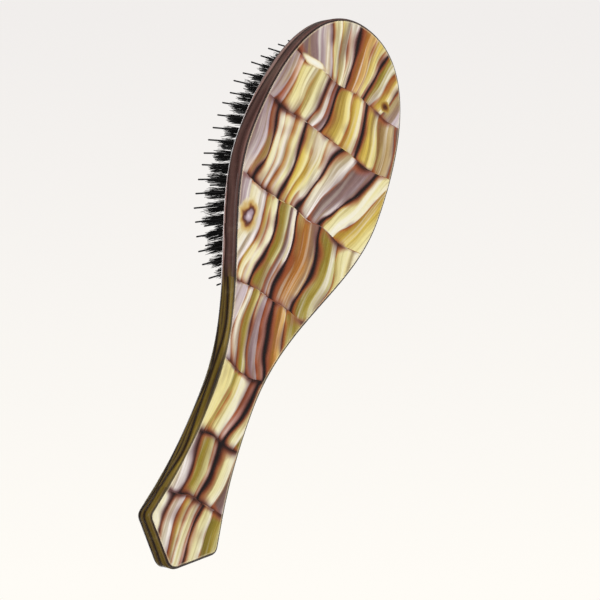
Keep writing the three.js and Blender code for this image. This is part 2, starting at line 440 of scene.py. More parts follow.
def make_cushion():
    shares = np.linspace(0, 1, DOME_RINGS + 1)[1:] ** RING_POWER
    angle = np.linspace(0, 2 * math.pi, OVAL_SIDES, endpoint=False)
    circle = np.stack([np.cos(angle), np.sin(angle)], axis=1)
    size = np.array([PAD_HALF_LENGTH - FIT_GAP, PAD_HALF_WIDTH - FIT_GAP])
    middle = np.array([PAD_X, 0.0])
    tufts, pins = seat_places(TUFT_OFFSET), seat_places(PIN_OFFSET)
    dome = [dome_loop(middle + circle * size * share, tufts, pins) for share in shares]
    bead_top = GROOVE_TOP - FIT_GAP
    bead_bottom = GROOVE_BOTTOM + FIT_GAP
    bead = GROOVE_DEPTH - FIT_GAP
    inner = -FIT_GAP - SHEET_THICKNESS
    rim = [
        (-FIT_GAP, BODY_THICKNESS - RIM_DROP),
        (-FIT_GAP, bead_top + BEAD_FILLET),
        (-FIT_GAP + BEAD_FILLET, bead_top),
    ]
    rim += [(bead - back, bead_top - drop) for back, drop in BEAD_CORNER]
    rim += [(bead - back, bead_bottom + drop) for back, drop in BEAD_CORNER[::-1]]
    rim += [(inner, bead_bottom), (inner, bead_top)]
    loops = Loops()
    crown = loops.add(middle[None], cushion_top(0) - CROWN_SINK)
    outside = loops.run(dome + [(oval(grow), z) for grow, z in rim])
    for i in range(OVAL_SIDES):
        loops.faces.append((crown[0], outside[0][(i + 1) % OVAL_SIDES], outside[0][i]))
    inside = loops.run(
        [
            (middle + circle * size * share, cushion_top(share) - SHEET_THICKNESS)
            for share in UNDERSIDE_SHARES
        ]
    )
    loops.join(outside[-1], inside[0])
    base = loops.add(middle[None], cushion_top(0) - SHEET_THICKNESS)
    for i in range(OVAL_SIDES):
        loops.faces.append((base[0], inside[-1][i], inside[-1][(i + 1) % OVAL_SIDES]))
    cushion = add_object("domed_rubber_cushion", loops.all_points(), loops.faces)
    face_outward(cushion)
    cushion.data.shade_smooth()
    return cushion


# ---- Bristles and pins ----


def strand_faces(strands, rings, sides):
    """Faces of `strands` closed strands, each `rings` loops of `sides` points and one tip point."""
    size = rings * sides + 1
    faces = []
    for strand in range(strands):
        start = strand * size
        faces.append(tuple(start + k for k in reversed(range(sides))))
        for ring in range(rings - 1):
            low = start + ring * sides
            for k in range(sides):
                n = (k + 1) % sides
                faces.append((low + k, low + n, low + sides + n, low + sides + k))
        last = start + (rings - 1) * sides
        for k in range(sides):
            faces.append((last + k, last + (k + 1) % sides, start + size - 1))
    return faces


def strand_points(path, radii, sides, tip):
    """Loops of points round a path that runs roughly up z, then the tip point."""
    angle = np.arange(sides) * 2 * math.pi / sides
    ring = np.stack([np.cos(angle), np.sin(angle), np.zeros(sides)], axis=1)
    loops = path[:, None, :] + radii[:, None, None] * ring[None]
    return np.concatenate([loops.reshape(-1, 3), tip[None]])


def add_strands(name, strands, rings, sides, rng):
    """An object of closed strands, which stores one random shade for each."""
    made = add_object(name, np.concatenate(strands), strand_faces(len(strands), rings, sides))
    shade = np.repeat(rng.random(len(strands)), rings * sides + 1)
    attribute = made.data.attributes.new("strand_shade", "FLOAT", "POINT")
    attribute.data.foreach_set("value", shade.astype(np.float32))
    return made


def sideways(rng, size):
    """A random step along x and y."""
    return np.array([*rng.normal(0, size, 2), 0.0])


def make_tuft_row(index, row, rng):
    share = np.linspace(0, 1, BRISTLE_RINGS)
    strands = []
    for point, lean, turn in row_seats(row, TUFT_OFFSET):
        along = np.array([math.cos(turn), math.sin(turn), 0.0])
        across = np.array([-along[1], along[0], 0.0])
        tuft_lean = lean + sideways(rng, TUFT_LEAN_SPREAD)
        tuft_height = TUFT_HEIGHT * (1 + rng.normal(0, TUFT_HEIGHT_SPREAD))
        for _ in range(BRISTLES):
            radius = math.sqrt(rng.random())
            spin = rng.uniform(0, 2 * math.pi)
            spot = radius * (math.cos(spin) * along + math.sin(spin) * across)
            shorter = abs(rng.normal(0, TRIM_SPREAD)) + EDGE_TRIM * radius**2 * rng.random()
            height = tuft_height + TALLEST_EXTRA - shorter
            rise = -ROOT_DEPTH + (height + ROOT_DEPTH) * share
            spread = TUFT_ROOT_RADIUS + (TUFT_TOP_RADIUS - TUFT_ROOT_RADIUS) * share**SPREAD_POWER
            stray = sideways(rng, STRAY_SPREAD)
            bow = sideways(rng, BOW_SPREAD)
            path = (
                point
                + tuft_lean * rise[:, None]
                + spot * spread[:, None]
                + stray * (share**2)[:, None]
                + bow * np.sin(math.pi * share)[:, None]
            )
            radii = BRISTLE_RADIUS * (1 - BRISTLE_TAPER * share)
            tip = path[-1] + tuft_lean * BRISTLE_TIP
            strands.append(strand_points(path, radii, BRISTLE_SIDES, tip))
    return add_strands(f"boar_tufts_{index}", strands, BRISTLE_RINGS, BRISTLE_SIDES, rng)


def make_pin_row(index, row, rng):
    rounding = np.sin(np.linspace(0, 1, TIP_RINGS + 1)[1:-1] * math.pi / 2)
    radii = PIN_RADIUS * np.concatenate([np.ones(SHAFT_RINGS), np.sqrt(1 - rounding**2)])
    strands = []
    for point, lean, _ in row_seats(row, PIN_OFFSET):
        own_lean = lean + sideways(rng, PIN_LEAN_SPREAD)
        height = PIN_HEIGHT * (1 + rng.normal(0, PIN_HEIGHT_SPREAD))
        shaft = np.linspace(-ROOT_DEPTH, height - PIN_RADIUS, SHAFT_RINGS)
        rise = np.concatenate([shaft, height - PIN_RADIUS + PIN_RADIUS * rounding])
        bow = sideways(rng, BOW_SPREAD)
        path = point + own_lean * rise[:, None] + bow * ((rise / height) ** 2)[:, None]
        tip = point + own_lean * height + bow
        strands.append(strand_points(path, radii, PIN_SIDES, tip))
    return add_strands(f"nylon_pins_{index}", strands, len(radii), PIN_SIDES, rng)


# ---- Materials ----


def tint(code):
    """A display colour such as "#F3E6EC" as linear RGBA."""
    parts = [int(code[i : i + 2], 16) / 255 for i in (1, 3, 5)]
    linear = [c / 12.92 if c <= 0.04045 else ((c + 0.055) / 1.055) ** 2.4 for c in parts]
    return (*linear, 1.0)


# A Blender colour ramp holds at most this many stops.
MOST_STOPS = 32
# The colour sockets of a Mix node: its factor, its two inputs and its output.
MIX_FACTOR, MIX_FIRST, MIX_SECOND, MIX_RESULT = 0, 6, 7, 2


class Shading:
    """One material's nodes, with a short call for each kind that is used."""

    def __init__(self, name):
        self.material = bpy.data.materials.new(name)
        self.material.use_nodes = True
        self.tree = self.material.node_tree
        self.shader = self.tree.nodes["Principled BSDF"]

    def node(self, kind, **settings):
        made = self.tree.nodes.new(kind)
        for key, value in settings.items():
            setattr(made, key, value)
        return made

    def put(self, socket, value):
        if isinstance(value, bpy.types.NodeSocket):
            self.tree.links.new(value, socket)
        else:
            socket.default_value = value

    def math(self, operation, *values):
        made = self.node("ShaderNodeMath", operation=operation)
        for socket, value in zip(made.inputs, values):
            self.put(socket, value)
        return made.outputs[0]

    def plus(self, first, second):
        return self.math("ADD", first, second)

    def minus(self, first, second):
        return self.math("SUBTRACT", first, second)

    def times(self, first, second):
        return self.math("MULTIPLY", first, second)

    def over(self, first, second):
        return self.math("DIVIDE", first, second)

    def hypot(self, first, second):
        return self.math("SQRT", self.plus(self.times(first, first), self.times(second, second)))

    def point(self, x=0.0, y=0.0, z=0.0):
        made = self.node("ShaderNodeCombineXYZ")
        for socket, value in zip(made.inputs, (x, y, z)):
            self.put(socket, value)
        return made.outputs[0]

    def stretched(self, values, rates):
        """A place for a noise: each value times its own rate."""
        return self.point(*(self.times(value, rate) for value, rate in zip(values, rates)))

    def noise(self, where, scale=1.0, detail=2.0, roughness=0.5):
        made = self.node("ShaderNodeTexNoise")
        self.put(made.inputs["Vector"], where)
        made.inputs["Scale"].default_value = scale
        made.inputs["Detail"].default_value = detail
        made.inputs["Roughness"].default_value = roughness
        return made.outputs["Fac"]

    def noise_about(self, where, size, detail=1.0):
        """Noise centred on zero, about `size` from its lowest to its highest."""
        return self.times(self.minus(self.noise(where, detail=detail), 0.5), size)

    def ramp(self, value, stops, interpolation="LINEAR"):
        made = self.node("ShaderNodeValToRGB")
        made.color_ramp.interpolation = interpolation
        elements = made.color_ramp.elements
        while len(elements) > 1:
            elements.remove(elements[-1])
        elements[0].position = stops[0][0]
        elements[0].color = stops[0][1]
        for position, color in stops[1:]:
            elements.new(position).color = color
        self.put(made.inputs[0], value)
        return made.outputs["Color"]

    def long_ramp(self, value, stops):
        """A ramp with any number of stops, as several that follow one another."""
        color = None
        for first in range(0, len(stops) - 1, MOST_STOPS - 1):
            part = self.ramp(value, stops[first : first + MOST_STOPS])
            if color is None:
                color = part
            else:
                color = self.mix(self.math("GREATER_THAN", value, stops[first][0]), color, part)
        return color

    def split(self, value):
        """The three parts of a point or a colour."""
        made = self.node("ShaderNodeSeparateXYZ")
        self.put(made.inputs[0], value)
        return made.outputs

    def mix(self, factor, first, second, blend_type="MIX"):
        made = self.node("ShaderNodeMix", data_type="RGBA", blend_type=blend_type)
        self.put(made.inputs[MIX_FACTOR], factor)
        self.put(made.inputs[MIX_FIRST], first)
        self.put(made.inputs[MIX_SECOND], second)
        return made.outputs[MIX_RESULT]

    def span(self, value, low, high, to_low=0.0, to_high=1.0, smooth=False):
        """`value` carried from the range low..high to to_low..to_high, and held at its ends."""
        made = self.node("ShaderNodeMapRange", clamp=True)
        made.interpolation_type = "SMOOTHSTEP" if smooth else "LINEAR"
        for socket, given in zip(made.inputs, (value, low, high, to_low, to_high)):
            self.put(socket, given)
        return made.outputs[0]

    def set_inputs(self, **values):
        """Sets the shader's own sockets, named with underscores for spaces."""
        for name, value in values.items():
            self.shader.inputs[name.replace("_", " ")].default_value = value

    def design_point(self):
        """Object coordinates in design millimetres."""
        made = self.node("ShaderNodeVectorMath", operation="MULTIPLY_ADD")
        coordinates = self.node("ShaderNodeTexCoord")
        self.put(made.inputs[0], coordinates.outputs["Object"])
        made.inputs[1].default_value = (1 / MM, 1 / MM, 1 / MM)
        made.inputs[2].default_value = (-HANDLE_END / MM, 0, 0)
        return made.outputs[0]

    def bump(self, height, strength, distance, under=None):
        made = self.node("ShaderNodeBump")
        made.inputs["Strength"].default_value = strength
        made.inputs["Distance"].default_value = distance
        self.put(made.inputs["Height"], height)
        if under is not None:
            self.put(made.inputs["Normal"], under)
        return made.outputs[0]


# The acetate is built of blocks along the body, and each block is a stack of bands that run lengthwise.
# Every band fades from its light +Y edge to a deeper one, where a seam ends it. For each block: the x
# where it starts, the slope of its bands and how much that changes per millimetre towards +Y, the height
# and shift of their waves, and the bands from +Y to -Y, each as the y of its light edge at the block's
# middle, its kind and the weight of its seam.
BLOCKS = [
    (-5, 0.0, 0.0, 0.6, 0.2, [
        (19, "olive", 0.2), (9, "cream", 0.9), (3.6, "rose", 0.3), (2.2, "cream", 0.2),
        (-2.5, "gold", 0.45), (-6, "pearl_sheen", 0.8), (-11.2, "cream", 0.5),
    ]),
    (26, 0.08, 0.005, 0.7, 0.28, [
        (16, "mauve", 0.2), (9.6, "cream", 1.1), (1.2, "pearl_sheen", 0.3), (-0.8, "olive", 0.8),
        (-8.3, "pearl_sheen", 0.4),
    ]),
    (50, 0.16, 0.012, 0.6, 0.4, [
        (16, "olive", 0.1), (11, "cream", 1.2), (5.4, "rose", 0.3), (2.0, "cream", 0.2),
        (-4.2, "olive", 0.15), (-5.4, "gold", 0.4),
    ]),
    (77, -0.22, -0.01, 0.8, 0.0, [
        (26, "olive", 0.6), (13, "amber", 1.3), (4.5, "rose", 0.5), (0.5, "mauve", 0.7),
        (-4, "olive", 0.4), (-9, "pearl_sheen", 0.5), (-12, "mauve", 0.4),
    ]),
    (107, 0.0, 0.0, 1.7, 0.485, [
        (31, "cream", 0.3), (23, "olive", 1.1), (12, "amber", 1.0), (0, "pearl_sheen", 0.1),
        (-2.4, "mauve", 0.1), (-5, "olive", 1.0), (-11, "cream", 0.25), (-15, "gold", 0.55),
        (-18, "pearl_sheen", 0.2), (-27, "mauve", 0.3),
    ]),
    (143, 0.28, 0.024, 0.8, 0.55, [
        (38, "gold", 0.3), (28, "cream", 1.0), (18, "mauve", 0.1), (8, "pearl_sheen", 1.4),
        (0, "pearl_sheen", 0.2), (-4, "gold", 0.2), (-8, "gold", 1.1), (-12.4, "cream", 0.1),
        (-19, "pearl_sheen", 0.1), (-22, "cream", 0.9), (-26, "tan", 0.15), (-29.5, "mauve", 0.3),
    ]),
    (175.5, 0.05, -0.015, 0.8, 0.9, [
        (38, "mauve", 0.4), (31, "tan", 0.2), (21, "gold", 1.35), (12.4, "rose", 0.1),
        (10.4, "gold", 0.2), (4.4, "gold", 1.35), (-5, "mauve", 0.2), (-8, "pearl_sheen", 0.75),
        (-11.4, "cream", 0.1), (-19, "cream", 0.15), (-26.5, "rose", 0.1), (-30, "mauve", 0.2),
    ]),
    (197.5, -0.03, 0.035, 0.6, 0.4, [
        (33, "mauve", 0.6), (26, "gold", 0.2), (20, "olive", 1.35), (12, "pearl_sheen", 0.1),
        (9.5, "gold", 0.2), (4.5, "amber", 0.95), (-3.6, "pearl_sheen", 0.3), (-8.5, "cream", 0.3),
        (-13.5, "cream", 0.6), (-18, "mauve", 0.3),
    ]),
]
# Ramps hold values from 0 to 1, so these are the most that each one's values can stand for.
BAND_SPAN = 40.0
SEAM_REACH = 12.0
SLOPE_RANGE = 1.0
FAN_RANGE = 0.1
WAVE_RANGE = 3.6
# Beyond this far from the middle line, the bands fan out no further.
FAN_REACH = 12.0
WAVE_LENGTH = 34.0
# How far away a seam of no weight seems even at its own place, so that it hardly shows.
FAINT_SEAM = 2.8
# How softly a band changes at its ends, and how much softer where its seam is faint.
BAND_SOFTNESS = 0.15
FAINT_SOFTNESS = 1.2
# Where along a band, from its light edge, its middle colour lies.
BAND_MIDDLE = 0.42
# Half the step between the two sides of a seam, because ramp stops can't share a place.
STOP_GAP = 0.02
# The last block runs this far past the top of the head.
PAST_TOP = 12
# How far the joints wander and the bands drift, and how far along the front's blocks lie.
JOINT_WANDER = 5.0
BAND_DRIFT = 5.5
FRONT_SHIFT = 17.0
# How widely a seam rounds off into a joint, and how far a seam and its glow reach.
JOINT_ROUNDING = 3.2
SEAM_HALF_WIDTH = 1.9
GLOW_REACH = 3.6
# How fast each noise changes along the body, across it and from block to block.
DRIFT_RATES = (0.05, 0.1, 9.0)
STREAK_RATES = (0.014, 0.31, 50.0)
HAIR_RATES = (0.05, 2.4, 1.0)
SMOKE_RATES = (0.03, 0.13, 31.0)
SWELL_RATES = (0.07, 0.12, 7.0)
LAYER_RATES = (0.035, 0.02, 1.0)
# How far the flank's layers rise and fall.
LAYER_LIFT = 7.0
# The power that deepens the painted colours.
DEEPEN = 1.25
# Eyes and slivers in the pattern: the x and y of each one's middle, its half length and half width,
# and its colours from the middle out.
EYES = [
    (130.5, -23.6, 7.0, 4.4, [
        (0.0, "#EDE2E8"), (0.26, "#C3AEB8"), (0.42, "#6A4440"), (0.54, "#96603E"), (0.7, "#D9B878"),
        (1.0, "#EFE4BC"),
    ]),
    (198.6, -20.0, 1.5, 7.0, [
        (0.0, "#FFFDF2"), (0.7, "#FBF4DC"), (1.0, "#D9C296"),
    ]),
    (202.5, 20.0, 2.4, 3.0, [
        (0.0, "#4E2C20"), (0.35, "#7A4A2A"), (0.7, "#B08A44"), (1.0, "#CDB468"),
    ]),
]

# The light edge, the middle and the deep end of each kind of band.
KINDS = {
    # The pearl kind is partly the layer's own pale colour and partly a painted pearly sheen.
    "pearl_sheen": ("#FFF6F4", "#FBF5E6", "#EADFB4"),
    "cream": ("#FBF5DC", "#F4EDBC", "#DDCB82"),
    "gold": ("#F8EDB0", "#E4CB6C", "#B48D3A"),
    "olive": ("#DDD6A2", "#A8963F", "#84742F"),
    "mauve": ("#D9CACF", "#9C8486", "#70544F"),
    "rose": ("#F3D9D4", "#D9A99E", "#A9705C"),
    "tan": ("#E3D0A8", "#BCA070", "#95774C"),
    "amber": ("#EFCB8C", "#BE8440", "#6E3A22"),
}
COOL_GLOW = "#8C7078"
WARM_GLOW = "#BE682C"
SEAM = "#5E2F24"
SEAM_CORE = "#20161B"
SMOKE, SUN = "#846A62", "#F3E29A"
STREAK_LIGHT, STREAK_DARK = "#FFFAEC", "#8E6E30"
# A painted highlight, laid where the face starts to round off.
PAINTED_EDGE_HIGHLIGHT = "#F6ECCB"
# Painted highlights: pale glints along the flank's streaks.
FLANK_PAINTED_GLINT = "#E8DCC0"
# The laminated layers that the flank shows edge on, from the back's edge to the front's. On the head, the
# pale pink band is partly a layer and partly a painted highlight.
HEAD_LAYERS_AND_HIGHLIGHT = [
    (0.0, "#6E4C46"),
    (0.12, "#84605A"),
    (0.3, "#96726A"),
    (0.42, "#80605A"),
    (0.48, "#5A342C"),
    (0.51, "#2A1612"),
    (0.55, "#8E6258"),
    # From here to 0.72, a pale pink layer that is partly a painted highlight.
    (0.6, "#DDB6AE"),
    (0.72, "#E2C2BA"),
    (0.82, "#A8807A"),
    (0.9, "#5A3A36"),
    (1.0, "#4A2C28"),
]
# The line that outlines both faces, from the handle's end to the crown.
RIM_SHADES = [
    (0.0, "#3A2826"), (0.05, "#3A2826"), (0.11, "#665826"), (0.38, "#665826"), (0.5, "#24120E"),
]
HANDLE_LAYERS = [
    (0.0, "#20130A"),
    (0.05, "#4A3414"),
    (0.11, "#8A732C"),
    (0.26, "#AE9640"),
    (0.35, "#7A6026"),
    (0.41, "#24140F"),
    (0.47, "#664A24"),
    (0.60, "#A89048"),
    (0.70, "#584022"),
    (0.76, "#24150F"),
    (0.83, "#7C6838"),
    (1.0, "#9C8C60"),
]


def shades(stops):
    """Ramp stops with their colours as linear RGBA."""
    return [(position, tint(code)) for position, code in stops]


def ramp_place(y):
    """Where a y falls on the ramps across the bands: 0 at BAND_SPAN and 1 at -BAND_SPAN."""
    return (BAND_SPAN - y) / (2 * BAND_SPAN)


def band_ends(bands):
    """The y where each band ends."""
    return [band[0] for band in bands[1:]] + [-BAND_SPAN]


def band_stops(bands):
    """Ramp stops for the colours of a block's bands."""
    stops = []
    for (top, kind, weight), end in zip(bands, band_ends(bands)):
        light, middle, deep = KINDS[kind]
        soft = BAND_SOFTNESS + FAINT_SOFTNESS * max(0.0, 0.5 - weight)
        stops.append((ramp_place(top - soft), tint(light)))
        stops.append((ramp_place(top - BAND_MIDDLE * (top - end)), tint(middle)))
        stops.append((ramp_place(end + soft), tint(deep)))
    return stops


def seam_stops(bands):
    """Ramp stops whose red is the distance to the nearest seam and whose green runs across a band."""
    stops = []
    before = 1.0
    for (top, _, weight), end in zip(bands, band_ends(bands)):
        after = FAINT_SEAM * (1 - weight) / SEAM_REACH
        middle = (top - end) / 2 / SEAM_REACH + (before + after) / 2
        stops.append((ramp_place(top - STOP_GAP), (max(0, before), 0, 0, 1)))
        stops.append((ramp_place((top + end) / 2), (min(1, middle), 0.5, 0, 1)))
        stops.append((ramp_place(end + STOP_GAP), (max(0, after), 1, 0, 1)))
        before = after
    return stops


def block_ramps():
    """Ramps along the body: each block's middle, slope and number, its wave, and the nearest joint."""
    places, waves, joints = [], [], []
    ends = [block[0] for block in BLOCKS[1:]] + [BODY_LENGTH + PAST_TOP]
    for number, ((start, slope, fan, wave, phase, _), end) in enumerate(zip(BLOCKS, ends)):
        position = max(0.0, start / BODY_LENGTH)
        middle = (start + end) / 2 / BODY_LENGTH
        places.append((position, (middle, 0.5 + slope / 2 / SLOPE_RANGE, number / len(BLOCKS), 1)))
        waves.append((position, (wave / WAVE_RANGE, phase, 0.5 + fan / 2 / FAN_RANGE, 1)))
        half = (end - start) / 2 / BAND_SPAN
        joints.append((position, (max(0, -start) / BAND_SPAN,) * 3 + (1,)))
        joints.append((min(1.0, middle), (half, half, half, 1)))
    return places, waves, joints


def eye_distance(s, x, y, eye):
    """How far out a place lies from an eye's middle: 1 at its edge."""
    return s.hypot(s.over(s.minus(x, eye[0]), eye[2]), s.over(s.minus(y, eye[1]), eye[3]))


def add_seams(s, color, distance, share):
    """Dark seams with a warm glow on the side that they end and a cool one on the side they begin."""
    distance = s.times(distance, s.span(share, 0.0, 1.0, 1.7, 0.9))
    glow = s.mix(share, tint(COOL_GLOW), tint(WARM_GLOW))
    color = s.mix(s.span(distance, 0.7, GLOW_REACH, 0.92, 0.0, smooth=True), color, glow)
    dark = s.mix(s.span(distance, 0.15, 1.0), tint(SEAM_CORE), tint(SEAM))
    return s.mix(s.span(distance, 0.3, SEAM_HALF_WIDTH, 1.0, 0.0, smooth=True), color, dark)


def add_streaks(s, color, smoke, streaks, hair):
    """Smoky and sunny drifts, then broad streaks, then hair-fine ones."""
    color = s.mix(s.span(smoke, 0.53, 0.72, 0.0, 0.75), color, tint(SMOKE))
    color = s.mix(s.span(smoke, 0.45, 0.3, 0.0, 0.45), color, tint(SUN))
    clear = s.span(s.split(color)[0], 0.12, 0.5)
    light = s.times(s.span(streaks, 0.53, 0.66), s.times(clear, 0.65))
    dark = s.times(s.span(streaks, 0.49, 0.36), s.times(clear, 0.6))
    color = s.mix(light, color, tint(STREAK_LIGHT))
    color = s.mix(dark, color, tint(STREAK_DARK))
    fine = s.times(s.span(hair, 0.35, 0.65), 0.35)
    return s.mix(fine, color, tint("#FFFFFF"), "SOFT_LIGHT")


def flank_color(s, x, y, z, block_x, number, streaks):
    """The laminated layers, edge on, with a darker line beside each face, painted glints along the streaks,
    and a pale pink band that is partly a painted highlight.
    """
    lift = s.noise_about(s.stretched((block_x, y, number), LAYER_RATES), LAYER_LIFT)
    lift = s.times(lift, s.span(x, 120.0, 160.0, 1.0, 0.3))
    dip = s.times(s.span(x, 135.0, 150.0), s.span(x, 158.0, 188.0, -2.4, 0.6))
    layer = s.over(s.plus(z, s.plus(lift, dip)), BODY_THICKNESS)
    layer = s.math("PINGPONG", layer, 1.0)
    patch = s.noise(s.point(s.times(x, 0.02), number, 8.0), detail=1.0)
    headward = s.plus(s.span(x, 95.0, 140.0, -0.8, 0.8), s.span(patch, 0.35, 0.65))
    head_side = s.ramp(layer, shades(HEAD_LAYERS_AND_HIGHLIGHT))
    handle_side = s.ramp(layer, shades(HANDLE_LAYERS))
    color = s.mix(s.span(headward, 0.35, 0.65), handle_side, head_side)
    # Painted highlights: pale glints along the streaks, a little stronger on the handle.
    painted_glint = s.times(s.span(streaks, 0.54, 0.7), s.span(x, 90.0, 120.0, 0.18, 0.1))
    color = s.mix(painted_glint, color, tint(FLANK_PAINTED_GLINT))
    half = BODY_THICKNESS / 2
    from_middle = s.math("ABSOLUTE", s.minus(z, half))
    rim = s.span(from_middle, half - 0.55, half - 0.2, 0.0, 0.9, smooth=True)
    return s.mix(rim, color, s.ramp(s.over(x, BODY_LENGTH), shades(RIM_SHADES)))


def band_bend(s, block_x, y, back_y, values):
    """How far the bands lie from their straight places: they lean, fan out, wave and drift. The values
    are the block's middle, slope, number, wave, phase and fan, as block_ramps gives them."""
    middle, slope, number, wave, phase, fan = values
    swing = s.plus(s.over(block_x, WAVE_LENGTH), phase)
    swing = s.math("SINE", s.times(swing, 2 * math.pi))
    swing = s.times(swing, s.times(wave, WAVE_RANGE))
    fanned = s.math("MINIMUM", s.math("MAXIMUM", back_y, -FAN_REACH), FAN_REACH)
    fanned = s.times(fanned, s.times(s.minus(fan, 0.5), 2 * FAN_RANGE))
    tilt = s.plus(s.times(s.minus(slope, 0.5), 2 * SLOPE_RANGE), fanned)
    tilt = s.times(tilt, s.minus(block_x, s.times(middle, BODY_LENGTH)))
    drift = s.noise_about(s.stretched((block_x, y, number), DRIFT_RATES), BAND_DRIFT, 0.6)
    return s.plus(s.plus(tilt, swing), drift)


def band_paint(s, along, band_y):
    """The bands' colour, and the ramp of their seams, from each block's own ramps."""
    down = s.over(s.minus(BAND_SPAN, band_y), 2 * BAND_SPAN)
    color, field = None, None
    for start, *_, bands in BLOCKS:
        own_color = s.long_ramp(down, band_stops(bands))
        own_field = s.long_ramp(down, seam_stops(bands))
        if color is None:
            color, field = own_color, own_field
        else:
            later = s.math("GREATER_THAN", along, start / BODY_LENGTH)
            color = s.mix(later, color, own_color)
            field = s.mix(later, field, own_field)
    return color, field


def seam_distance(s, x, y, number, to_seam, to_joint):
    """The distance to the nearest seam or joint. Seams swell and thin, and round off into the joints."""
    patchy = s.noise(s.point(s.times(y, 0.09), number, 3.0), detail=1.0)
    faint = s.times(s.span(x, 95.0, 125.0, 0.6, 1.6), s.span(patchy, 0.35, 0.65, 0.3, 1.5))
    distance = s.math("SMOOTH_MIN", to_seam, s.plus(to_joint, faint), JOINT_ROUNDING)
    swell = s.noise(s.stretched((x, y, number), SWELL_RATES), detail=1.0)
    widest = s.span(x, 100.0, 160.0, 2.0, 2.1)
    return s.over(distance, s.span(swell, 0.32, 0.68, 0.5, widest))


def add_eyes(s, color, distance, x, y, block_x, front):
    """The eyes on the back, and the distance to a seam, made larger there so that seams part round them."""
    ragged = s.noise_about(s.point(s.times(x, 0.22), s.times(y, 0.3), 4.0), 0.9, 1.5)
    for eye in EYES:
        out = s.plus(eye_distance(s, block_x, y, eye), ragged)
        inside = s.times(s.span(out, 0.8, 1.2, 1.0, 0.0, smooth=True), s.minus(1.0, front))
        distance = s.plus(distance, s.times(inside, 5.0))
        color = s.mix(inside, color, s.ramp(out, shades(eye[4])))
    return color, distance


def acetate():
    s = Shading("tortoise_acetate")
    x, y, z = s.split(s.design_point())
    facing = s.math("ABSOLUTE", s.split(s.node("ShaderNodeTexCoord").outputs["Normal"])[2])
    front = s.math("GREATER_THAN", z, BODY_THICKNESS / 2)

    # The joints wander a little, and the front's lie further along and mirror the back's.
    wander_point = s.point(s.times(y, 0.07), s.times(x, 0.02), front)
    wander = s.noise_about(wander_point, JOINT_WANDER, 0.0)
    block_x = s.plus(s.plus(x, wander), s.times(front, FRONT_SHIFT))
    back_y = s.times(y, s.minus(1.0, s.times(front, 2.0)))
    along = s.over(block_x, BODY_LENGTH)
    places, waves, joints = block_ramps()
    values = [*s.split(s.ramp(along, places, "CONSTANT")), *s.split(s.ramp(along, waves, "CONSTANT"))]
    number = values[2]
    band_y = s.minus(back_y, band_bend(s, block_x, y, back_y, values))
    color, field = band_paint(s, along, band_y)

    # Streaks run along each block, nearly level with its bands.
    streak_y = s.plus(s.times(band_y, 0.75), s.times(y, 0.25))
    place_in_block = (block_x, streak_y, number)
    streaks = s.noise(s.stretched(place_in_block, STREAK_RATES), detail=2.5, roughness=0.6)
    hair = s.noise(s.stretched(place_in_block, HAIR_RATES))
    smoke = s.noise(s.stretched(place_in_block, SMOKE_RATES))
    color = add_streaks(s, color, smoke, streaks, hair)

    reach, share, _ = s.split(field)
    to_joint = s.times(s.split(s.ramp(along, joints))[0], BAND_SPAN)
    distance = seam_distance(s, x, y, number, s.times(reach, SEAM_REACH), to_joint)
    color, distance = add_eyes(s, color, distance, x, y, block_x, front)
    color = add_seams(s, color, distance, share)

    # A painted highlight: a pale line where the face starts to round off, standing in for the polish's
    # reflection there. Then the flank.
    edge_highlight_mask = s.times(s.span(facing, 0.99995, 0.999), s.span(facing, 0.965, 0.985))
    color = s.mix(s.times(edge_highlight_mask, 0.4), color, tint(PAINTED_EDGE_HIGHLIGHT))
    side = flank_color(s, x, y, z, block_x, number, streaks)
    color = s.mix(s.span(facing, 0.95, 0.985, 1.0, 0.0), color, side)
    deep = s.node("ShaderNodeGamma")
    deep.inputs["Gamma"].default_value = DEEPEN
    s.put(deep.inputs["Color"], color)
    s.put(s.shader.inputs["Base Color"], deep.outputs["Color"])

    # A clear polish, a little worn and rippled.
    wear = s.noise(s.design_point(), scale=0.35, detail=4.0)
    s.put(s.shader.inputs["Roughness"], s.span(wear, 0.3, 0.7, 0.18, 0.34))
    s.set_inputs(Specular_IOR_Level=0.2, Coat_Weight=0.8, Coat_Roughness=0.04, IOR=1.48)
    ripple = s.noise(s.point(s.times(x, 0.06), s.times(y, 0.22), z), detail=1.0)
    fine = s.noise(s.point(s.times(x, 0.4), s.times(y, 4.0), z))
    under = s.bump(ripple, 0.5, 0.0004)
    s.put(s.shader.inputs["Normal"], s.bump(fine, 0.08, 0.0001, under))
    return s.material


def rubber():
    s = Shading("cushion_rubber")
    where = s.design_point()
    cloud = s.noise(where, scale=0.12, detail=4.0)
    grain = s.noise(where, scale=3.0, detail=3.0)
    color = s.mix(s.span(cloud, 0.3, 0.7), tint("#242326"), tint("#323036"))
    color = s.mix(s.times(grain, 0.3), color, tint("#151516"))
    s.put(s.shader.inputs["Base Color"], color)
    s.put(s.shader.inputs["Roughness"], s.span(cloud, 0.3, 0.7, 0.5, 0.68))
    s.put(s.shader.inputs["Normal"], s.bump(grain, 0.25, 0.0001))
    return s.material


